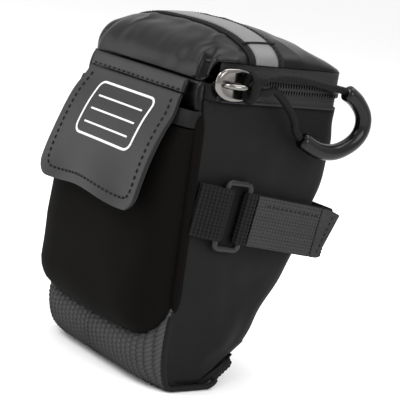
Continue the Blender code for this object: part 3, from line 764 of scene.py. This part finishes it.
def write_on_lines():
    """A rounded frame with three lines to write on, in place of a printed mark."""
    shape = bmesh.new()
    low, high, left, right, corner = 6.5, 34.0, -23.0, 25.0, 4.0
    outline = []
    for cx, cy, turn in ((right - corner, high - corner, 0), (left + corner, high - corner, 1),
                         (left + corner, low + corner, 2), (right - corner, low + corner, 3)):
        for k in range(7):
            angle = math.pi / 2 * (turn + k / 6)
            outline.append((cx + corner * math.cos(angle), cy + corner * math.sin(angle)))
    outline = [tuple(p[:2]) for p in spaced([(*p, 0) for p in outline + outline[:1]], 1.2)]
    stroke(outline, 1.2, shape)
    for run in (14.0, 21.0, 28.0):
        stroke([(x, run) for x in range(-18, 21)], 0.9, shape)
    return closed_piece("write_on_lines", shape, "white_print", "flap")


def make_flap():
    outer = sheet_piece("flap_vinyl", flap_rows(0.0, 0.0), "vinyl", "flap", 1.0, ("flap_outer",))
    inner = sheet_piece("flap_back", flap_rows(-1.25, 0.5), "lining_cloth", "flap", 0.6,
                        ("flap_lining",))
    runs = range(3, int(FLAP_LENGTH) - 9, 2)
    foot = FLAP_LENGTH - 5.0
    path = [(-flap_half(r) + STITCH_INSET, r) for r in runs]
    path += [(x, foot - 2.2 * max(0.0, abs(x) - 33) / 5) for x in range(-36, 37, 2)]
    path += [(flap_half(r) - STITCH_INSET, r) for r in range(int(FLAP_LENGTH) - 10, 2, -2)]
    stitches = stitch_row("flap_stitching", [flap_at(x, r, 0.1) for x, r in path], face_front,
                          "flap", width=0.55)
    patch = write_on_lines()


def make_band():
    shape = bmesh.new()
    rings = []
    for i in range(61):
        x = BAND_HALF * (2 * i / 60 - 1)
        puff = 0.25 * math.sin(x / 7)
        ring = []
        for k in range(20):
            angle = 2 * math.pi * k / 20
            c, s = math.cos(angle), math.sin(angle)
            out = math.copysign(abs(c) ** 0.5, c) * 1.3
            tall = math.copysign(abs(s) ** 0.5, s) * 3.3
            ring.append(shape.verts.new(at(x, -22.2 - out + 0.22 * tall - 0.4 * puff, 143.7 + tall)))
        rings.append(ring)
    join_rings(shape, rings)
    closed_piece("flap_band_vinyl", shape, "vinyl", "pouch", ("flap_band",))
    path = [Vector((x, -23.95, 141.6)) for x in range(-38, 39, 2)]
    stitch_row("band_stitching", path, face_front, "pouch", 4.2, 2.6, 0.5)


# ---------------------------------------------------------------- lid

SEAM_Z = 157.5           # the lid's seam to its zip tape
FRONT_SEAM_Z = 147.4     # its seam to the yoke, just under the hinge line
SEAM_DROP = 10.1         # from the one to the other
LID_RISE, FRONT_RISE = 15.0, 25.1
LID_HALF = 50.4
LID_MIDDLE_Y = 20.0
LID_FRONT, LID_BACK = 39.3, 44.0
FRONT_RADIUS, BACK_RADIUS = 9.0, 11.0
FRONT_BEND_Y, BACK_BEND_Y = -10.3, 53.0
FRONT_POWER, BACK_POWER = 2.2, 1.55
STRIP_Y = 12.8
FOLD_X, FOLD_Y = 44.4, -17.2
YOKE_HALF, YOKE_STRAIGHT = 50.2, 41.3


def lid_half(y):
    """Half the lid's width at depth y: straight sides and rounded corners."""
    if y > BACK_BEND_Y:
        radius, past = BACK_RADIUS, y - BACK_BEND_Y
    else:
        radius, past = FRONT_RADIUS, min(0.0, y - FRONT_BEND_Y)
    return LID_HALF - radius + math.sqrt(max(0.0, radius ** 2 - past ** 2))


def corner_fold(x, y):
    """How far the gathered fold at a front corner pulls the lid in; the cloth beside it swells."""
    over, back = abs(x) - FOLD_X, y - FOLD_Y
    across = 0.87 * over + 0.49 * back
    run = 0.87 * back - 0.49 * over
    gather = 3.4 * hump(across, 0, 1.5) - 1.5 * hump(across, -3.6, 2.1) - 1.5 * hump(across, 4.2, 2.6)
    return (1 - smooth_step(run, 1, 12)) * gather * (1.0 if x > 0 else 0.2)


def lid_creases(x, y):
    """How high the loose cloth's folds stand over the padding; the strip holds them down."""
    waves = ripple(x * 0.5, y * 1.3, 3.3, 17, 2.2) + ripple(x * 0.9, y, 8.8, 9, 0.7)
    fold = ripple(x * 0.5 + abs(y - STRIP_Y) * 0.35, y * 0.9, 5.5, 11, 1.0)
    waves += 1.3 * max(0.0, 1 - 3.2 * abs(fold)) ** 2
    waves *= (1 - 0.6 * smooth_step(y, 16, 30)) * smooth_step(y, -18, 0)
    free = 1 - math.exp(-((y - STRIP_Y) / 12.0) ** 4 * 0.9)
    return waves * free - 0.9 * hump(y, STRIP_Y, 10.5, 4)


def lid_at(angle, y, lift=0.0):
    """A point of the padded lid at an angle across it, at depth y."""
    c, s = math.cos(angle), math.sin(angle)
    if y > LID_MIDDLE_Y:
        power, reach = BACK_POWER, LID_BACK
    else:
        power, reach = FRONT_POWER, LID_FRONT
    share = min(1.0, abs(y - LID_MIDDLE_Y) / reach)
    deep = (1 - share ** power) ** (1 / power)
    front = 1 - (smooth_step(y, -18.6, -14.0) if c > 0 else smooth_step(y, -19.3, -9.0))
    base = SEAM_Z - SEAM_DROP * front
    top = SEAM_Z + LID_RISE * deep if y > LID_MIDDLE_Y else FRONT_SEAM_Z + FRONT_RISE * deep
    arch = (2.1 if c > 0 else 3.0) + 1.6 * front
    x = math.copysign(abs(c) ** (2 / arch), c) * lid_half(y)
    up = abs(s) ** (2 / arch)
    edge = (1 - up) * abs(c)
    roll = 2.8 * hump(y, -6, 6) * edge if c > 0 else 0.0
    roll += 0.9 * hump(y, 34, 9) * edge
    soft = deep ** 0.5 * up ** 0.5
    z = base + (top - base) * up + lid_creases(x, y) * soft + lift * up ** 0.6
    pull = corner_fold(x, y) * smooth_step(z, FRONT_SEAM_Z + 0.3, FRONT_SEAM_Z + 2.5)
    z -= 0.5 * pull * up * (1 - front)
    x += math.copysign(roll * (0.8 + soft * 1.4) + lift * abs(c) - 0.7 * pull, c)
    ruck = ripple(x * 1.2, z * 0.5, 1.7, 10, 0.9) * math.sin(math.pi * min(1.0, 1.3 * deep)) * up
    return (x, y + 0.7 * pull - ruck, z)


def face_over(point):
    """The way the strip over the lid faces, more outwards near its ends."""
    return Vector((point.x / 60, 0, 1)).normalized()


def make_lid():
    rows = []
    for j in range(101):
        c = math.cos(math.pi * (1 - j / 100))
        if c < 0:
            y = LID_MIDDLE_Y - LID_FRONT * abs(c) ** (2 / FRONT_POWER)
        else:
            y = LID_MIDDLE_Y + (LID_BACK - 0.1) * c ** (2 / BACK_POWER)
        rows.append([lid_at(math.pi * (1 - i / 112), y) for i in range(113)])
    shape = grid(rows)
    # The closing face rises from the low front seam to the side seams, so it passes under the lining.
    bmesh.ops.holes_fill(shape, edges=[e for e in shape.edges if e.is_boundary], sides=0)
    bmesh.ops.remove_doubles(shape, verts=shape.verts, dist=1e-6)
    cushion = closed_piece("lid_cushion", shape, "coated_nylon", "lid",
                           ("lid_shell", "lid_foam", "lid_skirt"))
    for name, width, lift, look, thick, old in (
            ("strip_border", 20.5, 0.9, "border", 0.8, "strip_webbing"),
            ("strip_reflector", 13.0, 1.35, "reflective", 0.5, "reflective_strip")):
        rows = []
        for i in range(97):
            angle = math.pi * i / 96
            rows.append([lid_at(angle, STRIP_Y + width * (k / 8 - 0.5),
                                lift * (1 if 0 < k < 8 else 0.8)) for k in range(9)])
        sheet_piece(name, rows, look, "lid", thick, (old,))
    for name, y in (("strip_stitching_front", 4.4), ("strip_stitching_back", 21.2)):
        path = [Vector(lid_at(math.pi * (0.04 + 0.92 * i / 60), y, 1.0)) for i in range(61)]
        stitch_row(name, path, face_over, "lid", 2.6, 1.7, 0.25)
    path = [Vector(lid_at(math.pi * 0.2, STRIP_Y + k * 1.0, 1.6)) for k in range(-10, 11)]
    closed_piece("strip_cross_seam", sweep(path, round_ends(len(path), 0.55)), "thread", "lid")


def make_yoke():
    rows = []
    for j in range(9):
        z = 134.0 + 13.0 * j / 8
        row = []
        for i in range(61):
            x = YOKE_HALF * (2 * i / 60 - 1)
            turn = max(0.0, abs(x) - YOKE_STRAIGHT)
            back = FRONT_RADIUS - math.sqrt(max(0.0, FRONT_RADIUS ** 2 - turn ** 2))
            row.append((x, -19.2 + back - 0.5 * math.sin(math.pi * j / 8), z))
        rows.append(row)
    sheet_piece("front_yoke", rows, "coated_nylon", "pouch", 0.7)
    for name, side in (("yoke_fold_right", 1), ("yoke_fold_left", -1)):
        path = along([(side * 44.6, -16.6, 147.6), (side * 45.4, -18.0, 143.0),
                      (side * 46.2, -18.4, 138.0), (side * 46.6, -17.6, 131.0)], 0.8)
        closed_piece(name, sweep(path, round_ends(len(path), 2.4, 5)), "coated_nylon", "pouch")
    path = [Vector((*here.xy, 139.5)) for here, _out in rim_route(0.3, -10.0)]
    closed_piece("rim_seam", sweep(path, round_ends(len(path), 0.65)), "tape", "pouch")


# ---------------------------------------------------------------- zip

def make_zip():
    for name, low, high, body, old in (
            ("lower_tape", 139.3, 146.3, "pouch", "lower_zip_tape"),
            ("upper_tape", 148.5, 157.2, "lid", "upper_zip_tape")):
        rows = []
        for k in range(23):
            z = low + (high - low) * k / 22
            ribs = 0.14 * math.sin(2 * math.pi * z / 1.25)
            rows.append([(*(here + out * (ribs - 0.1)).xy, z) for here, out in rim_route(0.0, -12.0)])
        sheet_piece(name, rows, "tape", body, 0.7, (old,))
    for name, low, high, body, old, shift in (
            ("lower_teeth", 144.9, 148.1, "pouch", "lower_zip_coil", 0),
            ("upper_teeth", 146.8, 150.0, "lid", "upper_zip_coil", 1)):
        shape = bmesh.new()
        for here, out in rim_route(0.75, -12.0, 0.8)[shift::2]:
            side = Vector((-out.y, out.x, 0)) * 0.36
            rings = []
            for z, deep in ((low, 0.4), (low + 0.8, 0.5), (high - 0.8, 0.5), (high, 0.4)):
                middle = Vector((here.x, here.y, z))
                rings.append([shape.verts.new(at(*(middle + side * a + out * deep * b)))
                              for a, b in ((-1, -1), (1, -1), (1, 1), (-1, 1))])
            join_rings(shape, rings)
        closed_piece(name, shape, "plastic", body, (old,), smooth=False)


# The slider's outline, and its sections as (x, share of the outline)
SLIDER_EDGE = ((-15.9, 148.4), (-14.9, 152.3), (-11.2, 154.9), (-5.0, 155.4), (1.0, 154.6),
               (4.4, 152.0), (5.0, 148.2), (4.2, 144.4), (2.6, 141.6), (-1.0, 140.2),
               (-7.0, 139.9), (-12.0, 141.4), (-15.2, 144.4))
SLIDER_SECTIONS = ((51.9, 0.95), (52.2, 1.0), (53.3, 1.0), (54.1, 0.95), (54.5, 0.86),
                   (54.3, 0.72), (54.4, 0.4), (54.5, 0.08))


def make_slider():
    outline = along([(0, y, z) for y, z in SLIDER_EDGE + SLIDER_EDGE[:1]], 1.0)[:-1]
    middle = Vector((0, -5.4, 147.6))
    shape = bmesh.new()
    rings = []
    for x, share in SLIDER_SECTIONS:
        rings.append([shape.verts.new(at(x, *(middle + (p - middle) * share).yz)) for p in outline])
    join_rings(shape, rings)
    closed_piece("slider_shell", shape, "nickel", "zip_slider")
    path = along([(54.0, -11.6, 147.4), (57.6, -10.4, 147.5), (59.4, -7.0, 147.6),
                  (59.4, -3.0, 147.6), (57.8, -0.2, 147.5), (54.0, 1.0, 147.4)], 0.7)
    closed_piece("slider_arch", sweep(path, lambda i, a: 1.35), "nickel", "zip_slider",
                 ("slider_bridge",))
    loop = [(58.0 + 3.4 * math.cos(a), 0.8 + 0.6 * math.sin(a), 147.8 + 5.8 * math.sin(a))
            for a in (2 * math.pi * i / 44 for i in range(44))]
    closed_piece("cord_bight", sweep(loop, braided(2.1), cyclic=True), "braid", "zip_slider",
                 ("pull_bight",))


UPPER_STRAND = ((56.2, 150.0), (44.0, 151.6), (28.0, 153.6), (17.0, 153.6), (12.2, 152.4))
LOWER_STRAND = ((12.8, 147.8), (17.5, 144.8), (23.6, 139.6), (28.0, 134.0), (29.8, 129.4),
                (33.4, 126.0))
TUBE_ROUTE = ((56.8, 149.7), (64.6, 145.4), (70.4, 138.6), (70.8, 131.0), (65.6, 124.6),
              (56.0, 120.4), (45.4, 120.9), (34.0, 125.6))
PULL_X = 59.4


def make_pull():
    knot = [(PULL_X, 13.0, 152.6), (PULL_X + 0.6, 8.6, 152.9), (PULL_X + 1.4, 4.6, 151.6),
            (PULL_X - 0.4, 1.2, 149.6), (PULL_X - 1.0, 0.4, 147.4), (PULL_X + 0.2, 3.4, 145.9),
            (PULL_X + 0.8, 8.2, 146.4), (PULL_X, 12.8, 147.8)]
    path = along(knot, CORD_STEP)
    closed_piece("cord_hitch", sweep(path, braided(1.8)), "braid", "pull_knot", ("pull_knot",))
    for name, strand, replaced in (("cord_upper", UPPER_STRAND, ("pull_cord",)),
                                   ("cord_lower", LOWER_STRAND, ())):
        path = along([(PULL_X, y, z) for y, z in strand], CORD_STEP)
        closed_piece(name, sweep(path, braided(1.85)), "braid", "pull_loop", replaced)
    path = along([(PULL_X, y, z) for y, z in TUBE_ROUTE], 1.2)
    closed_piece("rubber_tube", sweep(path, round_ends(len(path), 4.0, 1)), "rubber", "pull_loop",
                 ("pull_tube",))


# ---------------------------------------------------------------- strap

def on_strap(x, y, w):
    """A point in the strap's own plan, w across its width, tilted to its slope."""
    c, s = math.cos(STRAP_SLOPE), math.sin(STRAP_SLOPE)
    return (x, STRAP_Y + (y - STRAP_Y) * c - w * s, STRAP_Z + (y - STRAP_Y) * s + w * c)


def rounded(route, radius):
    """A plan route with its inner corners rounded."""
    made = [Vector(route[0])]
    for a, b, c in zip(route, route[1:], route[2:]):
        a, b, c = Vector(a), Vector(b), Vector(c)
        cut = min(radius, (b - a).length / 2.2, (c - b).length / 2.2)
        start, end = b + (a - b).normalized() * cut, b + (c - b).normalized() * cut
        made += [start.lerp(b, t / 5).lerp(b.lerp(end, t / 5), t / 5) for t in range(6)]
    made.append(Vector(route[-1]))
    return [tuple(p) for p in made]


ROUTE_STEP = 0.5
ACROSS = 36
WEBBING_THICK = 1.1


def ridged_band(route, width, pitch, depth, dots):
    """A strip of webbing along a plan route, whose cross ribs are broken into dots."""
    route = spaced([Vector((x, y, 0)) for x, y in route], ROUTE_STEP)
    shape = bmesh.new()
    relief_shade = shape.verts.layers.float.new("relief_shade")
    rings = []
    for i, here in enumerate(route):
        ahead, behind = route[min(i + 1, len(route) - 1)], route[max(i - 1, 0)]
        forward = (ahead - behind).normalized()
        side = Vector((-forward.y, forward.x, 0))
        ring = []
        for face in (1, -1):
            for k in range(ACROSS + 1):
                w = (k / ACROSS * 2 - 1) * face
                rib = (math.sin(2 * math.pi * ROUTE_STEP * i / pitch)
                       + math.sin(math.pi * w * width / dots))
                half = WEBBING_THICK / 2 + depth * rib * 0.5
                half *= math.sqrt(max(0.0, 1 - abs(w) ** 16)) * 0.9 + 0.1
                spot = here + side * half * face
                ring.append(shape.verts.new(at(*on_strap(spot.x, spot.y, w * width / 2))))
                # Painted shade: the tone is higher on the raised dots and lower in the hollows between
                # them.
                ring[-1][relief_shade] = 0.5 + 0.25 * rib
        rings.append(ring)
    join_rings(shape, rings)
    return shape


def face_side(_point):
    return Vector((1, 0, 0))


def make_strap():
    anchor = rounded([(51.5, -16.0), (51.5, 0.8), (56.1, 0.8), (56.1, -5.2), (53.0, -16.0)], 1.6)
    closed_piece("anchor_band", ridged_band(anchor, 25.0, 2.0, 0.6, 1.7), "webbing", "pouch",
                 ("anchor_webbing",))
    strap = rounded([(56.1, 15.2), (56.1, 10.2), (51.5, 10.2), (51.5, 69.6), (-51.5, 69.6),
                     (-51.5, -16.0)], 4.2)
    closed_piece("strap_band", ridged_band(strap, 25.0, 2.0, 0.6, 1.7), "webbing", "pouch",
                 ("back_strap",))
    tail = [(55.9, 16.6), (55.2, 24.6), (55.2, 57.0)]
    closed_piece("tail_band", ridged_band(tail, 24.6, 1.8, 0.42, 1.6), "knit", "strap_tail",
                 ("strap_tail",))
    path = [Vector(on_strap(55.95, y, 8.2)) for y in range(20, 57, 2)]
    stitch_row("tail_stitching_top", path, face_side, "strap_tail", 2.8, 1.8, 0.28)
    path = [Vector(on_strap(56.75, 60.0 + 5.0 * (w + 12) / 24, w)) for w in range(-10, 11, 2)]
    stitch_row("hem_stitching", path, face_side, "strap_tail", 2.8, 1.8, 0.28)
    outline = rounded([(0, 15.8), (-6.8, 15.8), (-6.8, -15.8), (6.8, -15.8), (6.8, 15.8),
                       (0, 15.8)], 2.6)
    path = spaced([(*p, 0) for p in outline], 0.6)[:-1]
    c, d = math.cos(RING_TILT), math.sin(RING_TILT)
    path = [(53.85, STRAP_Y + p.x * c - p.y * d, STRAP_Z + p.x * d + p.y * c) for p in path]
    closed_piece("ring_bars", sweep(path, lambda i, a: 1.6, cyclic=True), "plastic", "pouch",
                 ("strap_ring",))


# ---------------------------------------------------------------- CAD nodes that stay

STAYING = {
    "softshell": ("base_panel",),
    "foam": ("side_foam_right", "side_foam_left", "front_foam", "back_foam"),
    "lining_cloth": ("inner_lining", "lid_lining"),
    "plastic": ("base_stiffener", "flap_hook_patch", "tail_hook_pad"),
    "pile": ("pocket_loop_patch", "strap_loop_field", "tail_hem"),
    "nickel": ("slider_body", "zip_stop_right", "zip_stop_left"),
}


def finish_cad_nodes():
    """Materials on the CAD nodes that no modelled piece replaces."""
    for look, names in STAYING.items():
        for name in names:
            node = frame["nodes"][name]
            node.data.materials.clear()
            node.data.materials.append(LOOKS[look])


set_camera()
set_light()
finish_cad_nodes()
make_body()
make_wrap()
make_pocket()
make_flap()
make_band()
make_lid()
make_yoke()
make_zip()
make_slider()
make_pull()
make_strap()
